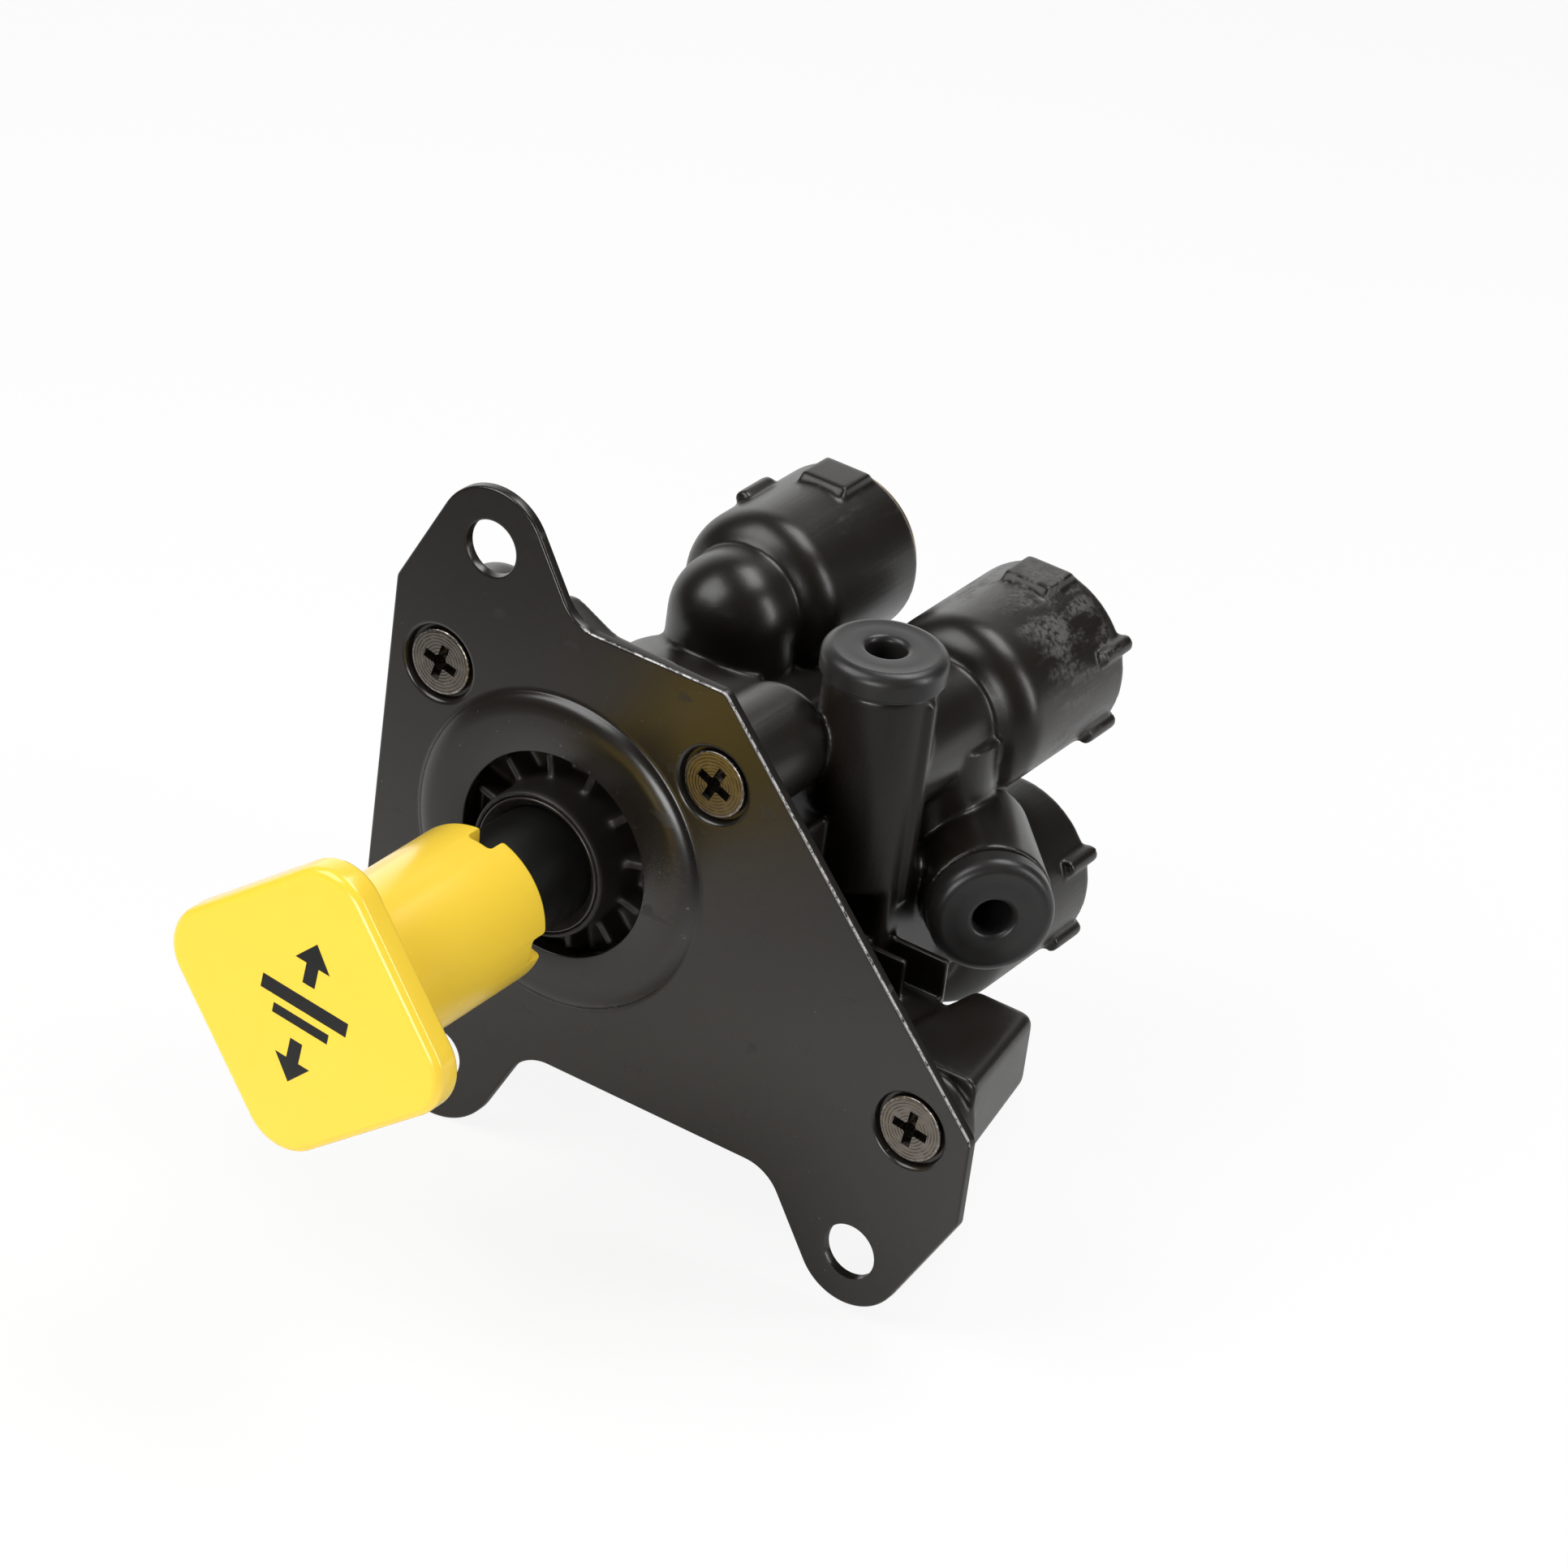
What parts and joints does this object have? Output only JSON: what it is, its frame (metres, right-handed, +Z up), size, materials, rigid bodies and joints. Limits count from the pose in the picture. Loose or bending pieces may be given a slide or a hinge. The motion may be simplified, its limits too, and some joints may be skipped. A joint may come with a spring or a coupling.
{
  "type": "air brake dash control valve",
  "caption": "Panel-mounted push-pull air valve with a square yellow knob, a stamped black plate and a moulded black housing with push-in tube ports.",
  "frame": {"origin": "middle of the two left panel holes, on the plate's front face, level with the plunger", "axes": "-Y out of the plate's front towards the driver, +X right, +Z up; the plunger axis is parallel to Y at x = 19.6 mm, z = 0"},
  "size_m": [0.1209, 0.1587, 0.1201],
  "materials": {
    "nylon": "semi-gloss moulded black nylon",
    "plate_steel": "satin black coating, bright where the cut edge has chipped",
    "screw_steel": "dark zinc with fine turned rings",
    "knob_yellow": "glossy yellow",
    "plunger_black": "glossy black",
    "guide_black": "polished bevel",
    "brass": "turned brass",
    "spring_steel": "plain steel",
    "rubber": "matt"
  },
  "bodies": {
    "housing": {"housing": "nylon", "mounting_plate": "plate_steel", "plate_screw_left_upper": "screw_steel", "plate_screw_left_lower": "screw_steel", "plate_screw_middle": "screw_steel", "plate_screw_arm": "screw_steel", "plunger_guide": "guide_black", "plunger_spring": "spring_steel", "top_cap": "nylon", "side_cap": "nylon", "cartridge_exhaust": "brass", "tube_ring_exhaust": "rubber", "cartridge_delivery": "brass", "tube_ring_delivery": "rubber", "cartridge_supply_upper": "brass", "tube_ring_supply_upper": "rubber", "cartridge_supply_lower": "brass", "tube_ring_supply_lower": "rubber"},
    "plunger": {"plunger": "plunger_black", "knob": "knob_yellow", "roll_pin": "spring_steel", "plunger_ring_1": "rubber", "plunger_ring_2": "rubber"},
    "top_shuttle": {"top_shuttle": "rubber"},
    "side_shuttle": {"side_shuttle": "rubber"},
    "collet_exhaust": {"collet_exhaust": "brass"},
    "collet_delivery": {"collet_delivery": "brass"},
    "collet_supply_upper": {"collet_supply_upper": "brass"},
    "collet_supply_lower": {"collet_supply_lower": "brass"}
  },
  "joints": [
    {"name": "plunger_slide", "type": "slide", "parent": "housing", "child": "plunger", "axis": [0, 1, 0], "range_m": [0, 0.013], "stiffness_N_per_m": 400, "deforming": ["plunger_spring"]},
    {"name": "top_shuttle_lift", "type": "slide", "parent": "housing", "child": "top_shuttle", "axis": [0, 0, 1], "range_m": [0, 0.003]},
    {"name": "side_shuttle_slide", "type": "slide", "parent": "housing", "child": "side_shuttle", "axis": [0.682, -0.7314, 0], "range_m": [0, 0.003]},
    {"name": "collet_release_exhaust", "type": "slide", "parent": "housing", "child": "collet_exhaust", "axis": [0, -1, 0], "range_m": [0, 0.001], "stiffness_N_per_m": 500},
    {"name": "collet_release_delivery", "type": "slide", "parent": "housing", "child": "collet_delivery", "axis": [0, -1, 0], "range_m": [0, 0.001], "stiffness_N_per_m": 500},
    {"name": "collet_release_supply_upper", "type": "slide", "parent": "housing", "child": "collet_supply_upper", "axis": [0, -1, 0], "range_m": [0, 0.001], "stiffness_N_per_m": 500},
    {"name": "collet_release_supply_lower", "type": "slide", "parent": "housing", "child": "collet_supply_lower", "axis": [0, -1, 0], "range_m": [0, 0.001], "stiffness_N_per_m": 500}
  ]
}
